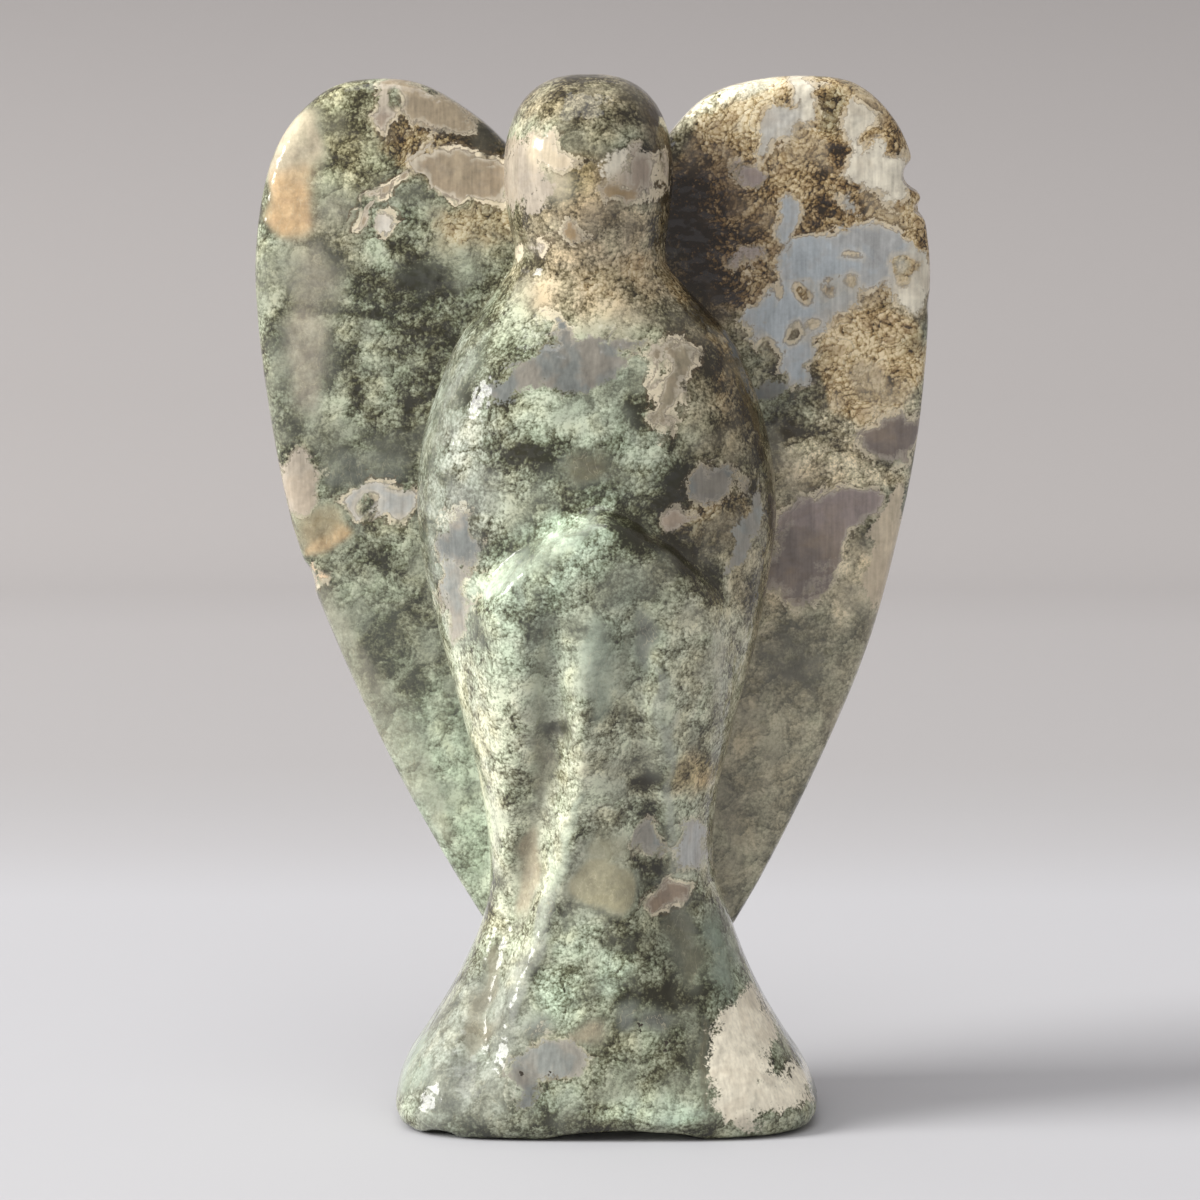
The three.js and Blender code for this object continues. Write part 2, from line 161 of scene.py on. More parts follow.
# Clear windows: what it is, face, middle, reach, lean, colour, how strong its cream rind is
WINDOWS = [
    ("head, left", "body", (-6.9, 89.6), (2.0, 3.2), 0, BEIGE, 0),
    ("head, left, top", "body", (-4.4, 91.2), (2.2, 1.3), 0, WARM_CREAM, 0.6),
    ("head, left, foot", "body", (-5.4, 87.2), (1.4, 1.4), 0, BEIGE, 0),
    ("head, right", "body", (4.5, 89.7), (2.2, 1.9), -10, ROSY, 0.8),
    ("head, right, glow", "body", (1.7, 90.4), (1.5, 1.1), 30, CREAM, 0),
    ("head, right, foot", "body", (2.6, 88.4), (2.0, 0.9), 0, OCHRE, 0.7),
    ("head, loop", "body", (-1.4, 84.2), (0.8, 0.7), 0, OCHRE, 0.6),
    ("neck, bead", "body", (-5.5, 83.1), (0.9, 0.6), 20, BEIGE, 0.9),
    ("chest", "body", (-1.6, 72.2), (4.2, 2.2), 6, SLATE, 0.1),
    ("chest, point", "body", (-2.9, 75.2), (0.7, 1.9), 20, SLATE, 0.6),
    ("chest, left arm", "body", (-7.0, 70.6), (3.0, 1.1), 15, SLATE, 0),
    ("chest, right arm", "body", (2.9, 73.9), (1.8, 0.5), 20, SLATE, 0.2),
    ("keyhole", "body", (8.1, 73.0), (1.4, 1.0), 0, KHAKI, 0.8),
    ("keyhole, lobe", "body", (5.9, 72.8), (0.5, 0.4), 0, KHAKI, 0.8),
    ("keyhole, stem", "body", (7.1, 70.4), (0.6, 2.4), -12, KHAKI, 0.8),
    ("keyhole, foot", "body", (6.1, 67.4), (0.8, 0.6), 0, KHAKI, 0.6),
    ("under the arm", "body", (11.0, 61.2), (2.5, 1.2), 18, SLATE, 0.4),
    ("rosy chip", "body", (7.8, 58.4), (0.8, 0.6), 0, ROSY, 0.5),
    ("blue streak", "body", (14.1, 56.6), (0.9, 3.8), -24, GREY, 0.1),
    ("left sleeve", "body", (-12.2, 55.7), (1.6, 2.6), 0, SLATE, 0.3),
    ("left sleeve, foot", "body", (-12.9, 50.6), (1.1, 3.4), 12, GREY, 0.4),
    ("left sleeve, glow", "body", (-12.6, 49.4), (0.5, 1.7), 8, BEIGE, 0),
    ("fold, right", "body", (9.5, 27.0), (1.1, 2.0), 10, PALE_GREY, 0.4),
    ("fold, right, top", "body", (5.5, 27.9), (1.1, 1.1), 20, GREY, 0.5),
    ("leaf", "body", (7.3, 22.4), (2.0, 0.9), 8, DARK_TAN, 0.8),
    ("hem, left", "body", (-4.0, 7.9), (2.8, 1.6), 4, GREY, 0.3),
    ("hem, left, foot", "body", (-6.4, 5.7), (0.9, 2.2), 10, SLATE, 0.1),
    ("foot, cream", "body", (14.0, 8.2), (2.7, 4.4), -2, CHALK, 0),
    ("foot, cream base", "body", (14.8, 4.0), (3.5, 1.9), 0, CREAM, 0),
    ("foot, cream toe", "body", (18.4, 4.3), (2.6, 1.6), 0, CHALK, 0),
    ("top left", "wing", (-15.2, 95.7), (5.2, 1.6), -24, TAN, 0.6),
    ("top left, side", "wing", (-19.4, 95.2), (0.9, 2.0), 0, ROSY, 0.9),
    ("left, wedge", "wing", (-12.0, 89.4), (4.6, 1.9), -15, TAN, 1),
    ("left, channel", "wing", (-17.0, 89.3), (2.0, 0.25), 14, TAN, 1),
    ("left, channel bend", "wing", (-20.3, 88.0), (1.5, 0.25), 30, TAN, 1),
    ("left, channel end", "wing", (-21.2, 86.0), (0.2, 1.6), -40, TAN, 1),
    ("white star", "wing", (-19.6, 84.8), (0.8, 0.6), 0, MILK, 0.8),
    ("left rim, cream", "rim", (-28.2, 60.4), (1.7, 3.0), -12, BEIGE, 0.3),
    ("left, blue", "wing", (-20.6, 58.4), (3.3, 1.3), 0, PALE_GREY, 0.8),
    ("rim chip, orange", "rim", (-26.4, 50.6), (0.6, 0.7), 0, ORANGE, 0.8),
    ("top right, streak", "rim", (19.8, 96.4), (1.3, 2.2), 0, CREAM, 0.8),
    ("top right, tail", "wing", (17.6, 94.0), (1.1, 2.8), -38, MILK, 0.8),
    ("top right, pane", "rim", (27.2, 89.7), (3.0, 2.2), 0, CREAM, 0.7),
    ("top right, pane top", "rim", (25.3, 94.2), (1.4, 1.5), 0, CREAM, 0.7),
    ("top right, pane neck", "rim", (24.8, 92.2), (1.0, 1.6), 10, CREAM, 0.7),
    ("top right, pane foot", "rim", (28.4, 87.7), (1.0, 1.2), 0, CREAM, 0.7),
    ("eye of blue", "wing", (23.9, 86.7), (1.3, 1.1), 0, PALE_GREY, 0.7),
    ("chip of blue, upper", "wing", (14.7, 89.6), (0.6, 1.0), 10, MAUVE, 0.4),
    ("chip of blue, lower", "wing", (14.9, 81.7), (1.1, 0.7), 0, MAUVE, 0.4),
    ("lake", "wing", (24.4, 81.4), (6.8, 2.5), 4, LAKE, 0.8),
    ("lake, spike", "wing", (18.5, 84.8), (0.9, 2.6), 0, LAKE, 0.6),
    ("lake, left", "wing", (18.6, 76.2), (3.9, 3.2), 25, LAKE, 0.7),
    ("lake, right", "wing", (22.2, 77.8), (2.6, 2.0), 20, PALE_GREY, 0.6),
    ("lake, foot", "wing", (19.6, 72.0), (1.3, 3.4), 4, LAKE, 0.8),
    ("lake, rim", "rim", (30.4, 79.6), (1.4, 3.4), 0, CREAM, 0.4),
    ("dark slate", "wing", (16.2, 68.8), (1.7, 0.9), 10, SLATE, 0),
    ("right, mauve", "rim", (28.6, 64.4), (3.4, 1.9), 12, DARK_MAUVE, 0.7),
    ("right, mauve large", "wing", (22.6, 57.2), (4.6, 2.7), 6, MAUVE, 0.7),
    ("right, mauve foot", "wing", (19.9, 53.0), (3.2, 4.2), -14, DARK_MAUVE, 0.5),
    ("right rim, tan", "rim", (28.2, 54.0), (1.5, 6.4), -8, WARM_CREAM, 0),
    ("back, upper", "back", (-11, 83), (5.5, 2.8), 20, PALE_GREY, 0.8),
    ("back, upper tail", "back", (-16, 79), (3, 1.2), 40, GREY, 0.8),
    ("back, right", "back", (14, 70), (3.5, 5.5), 15, MAUVE, 0.6),
    ("back, right pane", "back", (21, 86), (4.5, 2.6), -10, MILK, 0.8),
    ("back, middle", "back", (-2, 58), (4.5, 2.2), 10, GREY, 0.5),
    ("back, left", "back", (-20, 55), (3, 4), 0, OLIVE, 0.4),
    ("back, low", "back", (4, 34), (3.4, 2), 30, PALE_GREY, 0.6),
    ("back, hem", "back", (-8, 9), (4.4, 2.4), 0, CREAM, 0.2),
    ("back, neck", "back", (3, 92), (2.6, 2), 0, ROSY, 0.8),
]

# Islands of brown that stand in the windows, each with its own pale rind
ISLANDS = [
    ("wing", (17.1, 78.4), (0.6, 1.1), 0), ("wing", (19.6, 78.0), (0.7, 1.25), 8),
    ("wing", (22.2, 78.5), (0.9, 0.6), 0), ("wing", (24.2, 78.9), (0.45, 0.4), 0),
    ("wing", (24.4, 81.3), (0.8, 0.25), 8), ("wing", (21.2, 75.3), (0.5, 0.4), 0),
    ("wing", (29.8, 80.6), (1.15, 1.05), 0), ("wing", (19.2, 74.2), (1.0, 0.6), 10),
    ("wing", (-18.6, 96.0), (0.9, 1.0), -30), ("wing", (16.6, 72.7), (1.0, 1.1), 0),
    ("wing", (20.1, 67.8), (0.7, 0.6), 0), ("wing", (17.6, 66.8), (1.3, 1.2), 0),
    ("wing", (-21.2, 57.9), (0.75, 0.7), 0), ("rim", (27.3, 92.7), (2.5, 0.5), 8),
    ("back", (-13, 83.4), (0.9, 0.6), 0), ("back", (21.5, 86.2), (1.1, 0.7), 20),
    ("back", (-1, 58.2), (0.7, 0.6), 0),
]

# The mossy stone: what it is, face, middle, reach, lean, colour, how much paler, strength, edge
MOSS = [
    ("warm right side", "body", (13, 58), (5, 28), 0, KHAKI, -0.04, 0.9, 6),
    ("chest", "body", (0, 65), (9, 9), 0, SAGE, -0.05, 0.6, 4),
    ("neck", "body", (2, 80), (9, 4), 0, TAN, 0.05, 0.9, 3),
    ("right shoulder", "body", (13, 74), (6.5, 7), 0, KHAKI, -0.26, 1, 4),
    ("left side", "body", (-13.5, 62), (4.5, 14), 0, GREY, 0.02, 0.7, 4),
    ("skirt, left", "body", (-9, 33), (6, 19), 0, LICHEN, 0.08, 0.8, 4),
    ("skirt, middle", "body", (0, 36), (6, 15), 0, LICHEN, 0.09, 0.8, 4),
    ("skirt, right", "body", (10.5, 37), (4.5, 17), 0, LICHEN, 0.12, 0.7, 3),
    ("skirt, brown fold", "body", (9.4, 34.0), (2.6, 1.8), 0, OCHRE, -0.06, 0.8, 1.2),
    ("sleeves", "body", (-2, 47), (8, 6), 0, TEAL, 0.05, 0.45, 4),
    # Partly mint stone, partly painted light on the ledge's top, which faces up to the left
    ("ledge", "body", (-5, 54), (8, 3), 36, MINT, 0.14, 0.7, 2),
    ("left sleeve, edge", "body", (-9, 49), (4, 5.5), 0, SAGE, -0.14, 0.6, 2.5),
    ("hem, teal", "body", (12.4, 16.5), (2.2, 4.5), 15, TEAL, -0.03, 0.9, 2),
    ("hem, lace", "body", (-1.8, 18.8), (2.6, 2.2), 0, SAGE, 0.18, 0.8, 1.4),
    ("hem, mint", "body", (-3.0, 13.4), (2.4, 2.4), 0, MINT, 0.12, 0.6, 1.4),
    ("hem, mint, right", "body", (1.8, 15.8), (1.8, 1.9), 0, MINT, 0.16, 0.7, 1.2),
    ("hem, base", "body", (5.4, 3.0), (5.2, 1.5), 0, MINT, 0.14, 0.8, 1.2),
    ("hem, base, left", "body", (-3.4, 4.4), (2.6, 1.6), 0, SAGE, 0.16, 0.8, 1.2),
    ("hem, front", "body", (3.6, 7.4), (6, 4), 0, GREEN, -0.03, 0.7, 3),
    ("foot, left", "body", (-12, 8), (6, 8), -25, GREY, 0.04, 0.7, 4),
    ("cap", "body", (0, 97.2), (9, 4.2), 0, KHAKI, 0, 0.9, 2),
    ("cap, right", "body", (7.5, 92), (2.5, 8), 0, BROWN, -0.1, 0.6, 2.5),
    ("face, ochre", "body", (-1.2, 88.6), (3.4, 3.2), -15, OCHRE, 0.06, 0.9, 1.5),
    ("face, foot", "body", (0, 84.6), (7.5, 3.2), 0, TAN, 0, 0.8, 2.5),
    ("left wing, top", "wing", (-23.8, 92.6), (4.2, 5.4), 0, OLIVE, 0.02, 0.9, 2.5),
    ("left wing, tan", "wing", (-13.6, 92.2), (7, 3.4), -14, KHAKI, -0.34, 0.9, 2.5),
    ("left wing, brown edge", "wing", (-25.8, 84.2), (3.2, 2.6), 0, TAN, 0, 0.7, 1.5),
    ("left wing, olive", "wing", (-10.5, 84.8), (5.4, 3.0), 0, KHAKI, 0.05, 0.8, 2),
    ("left wing, haze", "wing", (-26, 79), (3.6, 6), 0, KHAKI, 0, 0.8, 3),
    ("left wing, middle", "wing", (-19, 70), (9, 12), 0, GREEN, -0.1, 0.5, 5),
    ("left wing, lower", "wing", (-20, 48), (8, 8), 0, GREEN, -0.1, 0.7, 4),
    ("left wing, mint", "wing", (-14, 29), (7, 11), 0, MINT, 0.24, 0.45, 5),
    ("right wing", "wing", (19, 86), (16, 13), 0, TAN, 0, 1, 3),
    ("right wing, gold", "wing", (20, 92), (12, 8), 0, STRAW, 0, 0.8, 2.5),
    # Partly cream stone, partly painted light on the rounded top rim that faces the light
    ("right wing, cream and painted top light", "rim", (12.0, 95.2), (6.8, 4.2), 26, CREAM, 0.25, 0.8, 2.5),
    # Painted shadow, partly brown stone: the wing beside the head is darkened where the head's shadow
    # falls
    ("right wing, brown and painted head shadow", "wing", (10.5, 85), (4.5, 8), 0, BROWN, -0.42, 0.9, 4),
    ("right wing, orange rim", "rim", (31, 84.2), (1.6, 3.0), 0, STRAW, 0.1, 0.9, 1.5),
    ("right wing, loops", "wing", (26.2, 75.0), (4.8, 2.6), 15, WARM_CREAM, 0.14, 0.9, 1.5),
    ("right wing, green patch", "wing", (22.3, 95.2), (1.2, 2.0), -20, GREEN, 0, 1, 0.8),
    ("right wing, grain", "wing", (26.6, 69.6), (5.6, 4.6), 0, WARM_CREAM, 0.21, 0.9, 2),
    ("right wing, mint", "wing", (21.5, 63.0), (4, 3.4), 0, WARM_CREAM, 0.22, 0.8, 2),
    ("right wing, mint low", "wing", (26.6, 60.8), (3.4, 1.4), 0, WARM_CREAM, 0.15, 0.8, 1.5),
    ("right wing, lower", "wing", (19, 36), (12, 24), 0, TAN, 0.1, 0.8, 8),
    ("right wing, mint foot", "wing", (24.5, 50.6), (2.2, 3.6), -20, STRAW, 0.1, 0.7, 2),
    ("back, tan", "back", (20, 84), (12, 12), 0, TAN, 0, 0.9, 5),
    ("back, mint", "back", (-20, 86), (10, 12), 0, SAGE, 0.05, 0.7, 6),
    ("back, warm", "back", (8, 50), (9, 14), 0, TAN, 0, 0.6, 6),
    ("back, teal", "back", (6, 14), (10, 8), 0, TEAL, 0, 0.7, 4),
]

# Clumps that show paler or darker: face, middle, reach, lean, how much paler, edge
CLUMPS = [
    ("body", (-3.9, 67.5), (3.2, 1.8), 8, 0.34, 1.0), ("body", (1.0, 66.7), (2.0, 2.0), 0, 0.32, 1.0),
    ("body", (4.9, 64.1), (2.6, 1.8), 0, 0.32, 1.0), ("body", (9.8, 67.0), (1.9, 3.4), 0, 0.26, 1.0),
    ("body", (-5.7, 77.2), (2.9, 3.0), 0, 0.35, 1.5), ("body", (1.6, 76.0), (3.4, 1.4), 0, 0.28, 1.2),
    ("body", (3.0, 70.2), (2.2, 1.8), 0, 0.12, 1.2), ("body", (-11.5, 62.4), (3.4, 2.4), 0, 0.1, 1.5),
    ("body", (-6.0, 59.2), (4.0, 1.8), 20, 0.1, 1.5), ("body", (11.2, 58.1), (2.0, 1.4), 0, 0.16, 0.8),
    ("body", (13.9, 52.4), (1.3, 3.0), -14, 0.16, 1), ("body", (13.4, 64.0), (1.6, 2.2), 0, 0.1, 1),
    ("body", (-0.4, 63.0), (2.9, 1.9), 0, -0.2, 1.2), ("body", (-5.4, 63.7), (2.4, 1.2), -10, -0.36, 0.9),
    ("body", (3.9, 68.0), (0.8, 1.7), 0, -0.35, 0.7), ("body", (7.6, 65.7), (0.5, 1.8), -10, -0.4, 0.6),
    # These two darken the right face of the ledge, which faces away from the light: painted shade, partly
    # dark stone
    ("body", (5.6, 56.9), (3.4, 2.2), -30, -0.45, 1.8), ("body", (9.4, 53.6), (3.6, 1.5), -48, -0.45, 1.4),
    ("body", (15.4, 62.0), (1.3, 3.2), 0, -0.4, 1.4), ("body", (7.2, 61.4), (1.2, 1.6), 0, -0.3, 0.8),
    ("body", (9.6, 60.4), (4.6, 2.6), 0, -0.34, 1.6), ("body", (12.4, 72.4), (3.2, 1.0), 12, -0.2, 1.0),
    ("body", (10.6, 77.6), (3.0, 1.6), -20, -0.25, 1.4), ("body", (-0.6, 55.4), (2.4, 1.4), 0, 0.15, 1.2),
    ("body", (7.2, 48.2), (2.0, 2.4), 0, 0.2, 1.4), ("body", (8.6, 41.0), (2.2, 3.4), 0, 0.2, 1.4),
    ("body", (0.4, 32.4), (1.3, 2.2), 10, 0.3, 1.0), ("body", (-9.0, 27.5), (1.2, 3.0), 0, 0.3, 1.0),
    ("body", (8.4, 28.6), (0.8, 2.6), 10, 0.25, 0.8), ("body", (-9.6, 36.0), (1.6, 8.0), -6, 0.16, 1.6),
    # The darker clumps from X 4.9, Z 33.6 down to X 10.7, Z 9.6 follow the right fold groove: painted
    # shade there, partly darker moss
    ("body", (-3.3, 38.6), (1.3, 0.9), 0, -0.6, 0.6), ("body", (4.9, 33.6), (1.3, 0.8), 0, -0.5, 0.6),
    ("body", (5.0, 30.6), (1.4, 1.4), 0, -0.45, 0.8), ("body", (5.8, 25.0), (1.4, 1.3), 0, -0.45, 0.8),
    ("body", (8.2, 18.6), (1.3, 3.6), 14, -0.42, 1.2), ("body", (6.4, 13.8), (2.6, 1.2), 10, -0.3, 0.9),
    ("body", (10.7, 9.6), (0.7, 3.2), 4, -0.4, 0.7), ("body", (3.4, 11.6), (1.6, 1.4), 0, -0.2, 1),
    ("body", (2.6, 18.2), (2.4, 1.4), 0, -0.12, 1.2), ("body", (-13.6, 28.0), (1.2, 6.0), 0, 0.12, 1.5),
    ("body", (17.6, 11.0), (0.8, 3.4), 30, -0.3, 0.8), ("body", (3.0, 3.2), (7.0, 1.2), 0, 0.12, 1),
    ("body", (7.0, 92.6), (1.6, 4.0), -10, -0.25, 1.2), ("body", (4.2, 95.6), (2.6, 1.4), 0, -0.14, 1),
    ("wing", (-15.8, 79.6), (2.2, 1.6), 20, -0.5, 1.4), ("wing", (-18.4, 82.8), (1.3, 0.6), 20, -0.4, 0.8),
    ("wing", (-21.8, 78.6), (1.0, 1.2), 0, -0.35, 0.9), ("wing", (-23.4, 77.4), (0.9, 0.9), 0, 0.3, 0.5),
    ("wing", (-20.0, 80.6), (2.6, 1.0), 8, 0.12, 0.8), ("wing", (-22.4, 68.4), (0.7, 1.8), 0, -0.42, 0.7),
    ("wing", (-24.6, 76.4), (4.6, 0.5), 0, -0.4, 0.5), ("wing", (-17.4, 67.4), (0.7, 0.8), 0, -0.36, 0.5),
    ("wing", (-23.5, 66.4), (1.1, 2.4), 0, 0.18, 0.8), ("wing", (-19.8, 67.6), (1.5, 2.0), 0, 0.18, 0.8),
    ("wing", (-19.0, 72.6), (2.4, 1.6), 0, 0.14, 1.2), ("wing", (-21.4, 60.6), (4.4, 0.7), 0, -0.36, 0.8),
    ("wing", (-17.6, 62.0), (2.0, 3.6), 0, -0.18, 1.4), ("wing", (-22.6, 92.0), (2.0, 2.0), 0, -0.14, 1.4),
    ("wing", (-21.4, 87.6), (1.8, 2.6), 0, -0.22, 1.4), ("wing", (-24.4, 95.4), (2.6, 1.4), 30, 0.22, 1),
    # The three small darkest spots near X 22 to 24, Z 89 to 92 are pits in the crust: painted shade in
    # them
    ("wing", (29.6, 80.7), (0.4, 0.35), 0, -0.6, 0.3), ("wing", (22.8, 92.0), (0.5, 0.6), 0, -0.6, 0.3),
    ("wing", (22.2, 89.6), (0.6, 0.4), 0, -0.6, 0.3), ("wing", (23.6, 90.6), (0.4, 0.4), 0, -0.5, 0.3),
    # These two darken the wing beside the neck and head: painted shadow of the head, partly browner moss
    ("wing", (11.4, 79.4), (3.4, 1.4), 10, -0.3, 1.2), ("wing", (9.6, 86.0), (2.0, 6.0), 0, -0.22, 2),
    ("wing", (20.4, 84.6), (1.1, 1.8), 0, -0.18, 1), ("wing", (18.6, 65.2), (1.4, 1.0), 0, -0.2, 1),
    ("wing", (21.6, 60.6), (1.2, 0.7), 0, -0.3, 0.7), ("wing", (17.6, 42.0), (2.0, 4.0), 0, -0.2, 2),
    ("wing", (-20.6, 44.0), (3.0, 2.0), 0, -0.2, 1.6), ("wing", (-17.6, 38.0), (2.0, 3.0), 0, -0.12, 1.6),
]

# Milky stone over the moss, where only its blurred colour comes through, and painted light and shade
# laid the same way: face, middle, reach, lean, colour, strength, edge
HAZES_AND_PAINTED_LIGHT = [
    ("wing", (29.6, 80.7), (0.9, 0.8), 0, CREAM, 0.8, 0.3),
    # The ledge's upper left band: partly mint stone, partly painted light where it faces the light
    ("body", (-4.9, 55.0), (6.9, 1.0), 36, FROST, 0.55, 0.9),
    # These two are painted sheen: a soft reflection of the bright room down the left flank
    ("body", (-14.8, 61.0), (1.2, 9.0), 0, SAGE, 0.35, 1.8),
    ("body", (-12.6, 70.0), (1.4, 5.0), -28, SAGE, 0.35, 1.8),
    ("body", (-0.2, 62.9), (2.6, 1.7), 0, DARK_OLIVE, 0.85, 0.9),
    ("body", (-3.6, 88.6), (1.6, 2.0), 0, WARM_CREAM, 0.7, 1.2),
    ("rim", (-28.2, 90.9), (2.4, 4.6), -20, WARM_CREAM, 0.95, 1.0),
    ("rim", (-28.4, 86.3), (2.4, 3.2), -8, ORANGE, 0.95, 1.1),
    ("wing", (-26.4, 79.6), (2.6, 3.6), 0, BEIGE, 0.7, 2.2),
    ("wing", (-27.2, 71.8), (2.4, 5.4), 0, BEIGE, 0.8, 1.8),
    ("wing", (-26.2, 55.6), (2.8, 2.6), 0, OCHRE, 0.8, 1.2),
    ("rim", (-25.4, 54.2), (2.6, 0.9), 35, ORANGE, 0.8, 0.7),
    ("wing", (-24.6, 86.2), (2.0, 2.0), 0, DARK_MAUVE, 0.6, 2),
    ("wing", (-21.6, 61.2), (3.6, 1.6), 0, DEEP_SLATE, 0.6, 1.2),
    ("wing", (-16, 34), (8, 20), 28, SAGE, 0.2, 4),
    ("wing", (18, 34), (8, 20), -28, BEIGE, 0.35, 4),
    # Down to the DEEP_SLATE mark: the FROST, MINT and PALE_GREY lines are painted highlights on the
    # skirt's fold crests, and the DARK_OLIVE and DEEP_SLATE marks are painted shade in its grooves, partly
    # darker stone
    ("body", (-4.4, 44.0), (0.7, 6.0), 2, DARK_OLIVE, 0.5, 1.0),
    ("body", (0.4, 44.4), (1.4, 5.0), 2, MINT, 0.6, 1.2),
    ("body", (-6.0, 25.0), (1.1, 4.6), -12, TAN, 0.85, 0.9),
    ("body", (0.8, 23.4), (3.3, 2.5), -6, OLIVE, 1, 0.6),
    ("body", (1.6, 27.2), (1.9, 1.7), 0, OLIVE, 0.8, 0.9),
    ("body", (-3.0, 26.4), (0.5, 7.0), -13, FROST, 0.5, 0.6),
    ("body", (6.6, 39.6), (0.6, 6.0), 3, PALE_GREY, 0.45, 0.7),
    ("body", (2.8, 43.6), (0.5, 4.6), 0, DARK_OLIVE, 0.5, 0.8),
    ("body", (-4.6, 34.4), (0.9, 3.6), 4, KHAKI, 0.6, 0.9),
    ("body", (7.6, 29.0), (0.6, 5.2), 11, PALE_GREY, 0.5, 0.7),
    ("body", (4.8, 47.6), (1.1, 2.6), 0, DEEP_SLATE, 0.9, 0.8),
    ("body", (-12.0, 7.0), (6.0, 6.0), -25, PALE_GREY, 0.35, 3),
    ("body", (-17.4, 6.0), (1.6, 3.0), -20, MINT, 0.8, 1.2),
    ("body", (-10.2, 12.0), (1.2, 6.0), -16, KHAKI, 0.75, 1.2),
    # Painted highlight along the left fold crest
    ("body", (-5.8, 16.8), (0.9, 7.0), -19, PALE_GREY, 0.55, 0.8),
    ("body", (-5.2, 10.6), (1.5, 1.0), 30, SLATE, 0.85, 0.8),
    ("body", (-0.6, 10.4), (1.7, 1.1), 20, TAN, 0.8, 0.8),
    ("body", (3.1, 11.6), (1.3, 1.0), 0, SLATE, 0.8, 0.7),
    ("body", (6.2, 11.2), (1.8, 1.1), 10, DEEP_SLATE, 0.95, 0.7),
    # This DARK_OLIVE mark and the one two lines down are painted shade in the right fold groove, partly
    # darker stone
    ("body", (8.6, 17.6), (1.4, 3.8), 14, DARK_OLIVE, 0.7, 1.4),
    ("body", (11.9, 17.0), (1.2, 3.6), 14, TEAL, 0.8, 1.0),
    ("body", (10.6, 7.2), (0.6, 4.2), 3, DARK_OLIVE, 0.8, 0.6),
    ("body", (16.4, 12.2), (2.0, 1.3), 40, DARK_MAUVE, 0.7, 0.8),
    ("rim", (27.0, 40.0), (3.0, 16.0), -18, WARM_CREAM, 0.6, 2.4),
    ("rim", (-20.0, 38.0), (2.0, 14.0), 28, BEIGE, 0.5, 2),
    ("back", (0, 70), (4, 9), 0, SAGE, 0.6, 3),
]

# How thick the brown crusts lie, most on the top of the right wing: face, middle, reach, lean,
# thickness, edge
CRUSTS = [
    ("rim", (21, 87), (14, 11.5), 0, 1, 2.5), ("body", (6, 80), (8, 3), 0, 0.45, 2),
    ("body", (13.5, 72), (3.5, 7), 0, 0.45, 2), ("body", (11.5, 57.5), (4, 3), 0, 0.5, 1.5),
    ("wing", (-14, 91.5), (7, 4), -15, 0.6, 2), ("wing", (-10.5, 84.8), (5.4, 3), 0, 0.5, 2),
    ("wing", (26.2, 71.8), (5.6, 6.2), 15, 0.8, 1.2),
]

# Each point takes the tint and the rind of the windows near it, the nearest the most
FAR_OUT = 4.0
NEARNESS, NEARNESS_LIMIT = 2.2, 12
NO_PULL = 1e-6
depth = np.full(len(on_stone), -FAR_OUT)
weight = np.full(len(on_stone), NO_PULL)
window_tint = np.tile(GREY, (len(on_stone), 1)) * NO_PULL
rind = np.zeros(len(on_stone))
for name, face, middle, reach, lean, tint, edge_strength in WINDOWS:
    here = inside(face, middle, reach, lean)
    depth = np.maximum(depth, here)
    pull = np.exp(np.clip(here * NEARNESS, -NEARNESS_LIMIT, NEARNESS_LIMIT))
    weight += pull
    window_tint += pull[:, None] * tint
    rind += pull * edge_strength
window_tint /= weight[:, None]
rind /= weight
island = np.full(len(on_stone), -FAR_OUT)
for face, middle, reach, lean in ISLANDS:
    island = np.maximum(island, inside(face, middle, reach, lean))

moss_tint = np.tile(GREEN, (len(on_stone), 1))
paler = np.zeros(len(on_stone))
for name, face, middle, reach, lean, tint, lift, strength, edge in MOSS:
    share = soft(inside(face, middle, reach, lean), edge)
    moss_tint += (strength * share)[:, None] * (tint - moss_tint)
    paler += lift * share
for face, middle, reach, lean, lift, edge in CLUMPS:
    paler += lift * soft(inside(face, middle, reach, lean), edge)
haze = np.zeros(len(on_stone))
haze_and_painted_light_tint = np.tile(SAGE, (len(on_stone), 1))
for face, middle, reach, lean, tint, strength, edge in HAZES_AND_PAINTED_LIGHT:
    share = strength * soft(inside(face, middle, reach, lean), edge)
    haze_and_painted_light_tint += share[:, None] * (tint - haze_and_painted_light_tint)
    haze = np.maximum(haze, share)
cells = np.zeros(len(on_stone))
for face, middle, reach, lean, thickness, edge in CRUSTS:
    cells = np.maximum(cells, thickness * soft(inside(face, middle, reach, lean), edge))


def carry(name, values):
    """Keeps one number or one colour for each vertex of the skin, for the stone's material to read."""
    flat = values.ndim == 1
    layer = skin.attributes.new(name, "FLOAT" if flat else "FLOAT_COLOR", "POINT")
    rows = values if flat else np.column_stack([values, np.ones(len(values))])
    layer.data.foreach_set("value" if flat else "color", rows.astype(np.float32).ravel())


for name, values in (
    ("window_depth", np.clip(depth, -FAR_OUT, FAR_OUT)), ("window_tint", window_tint),
    ("island_depth", np.clip(island, -FAR_OUT, FAR_OUT)), ("rind", rind), ("moss_tint", moss_tint),
    ("paler", paler), ("haze", haze), ("haze_and_painted_light_tint", haze_and_painted_light_tint), ("cells", cells),
):
    carry(name, values)

# The polished stone
# The moss is tiny branching crystals, so it looks like pale crumbs heaped in clumps over dark gaps.
# Windows have a scalloped edge with a cream line just outside it. The polish is glassy, with a
# slight ripple that breaks up the light.
stone = bpy.data.materials.new("moss_agate")
stone.use_nodes = True
tree = stone.node_tree
polish = tree.nodes["Principled BSDF"]


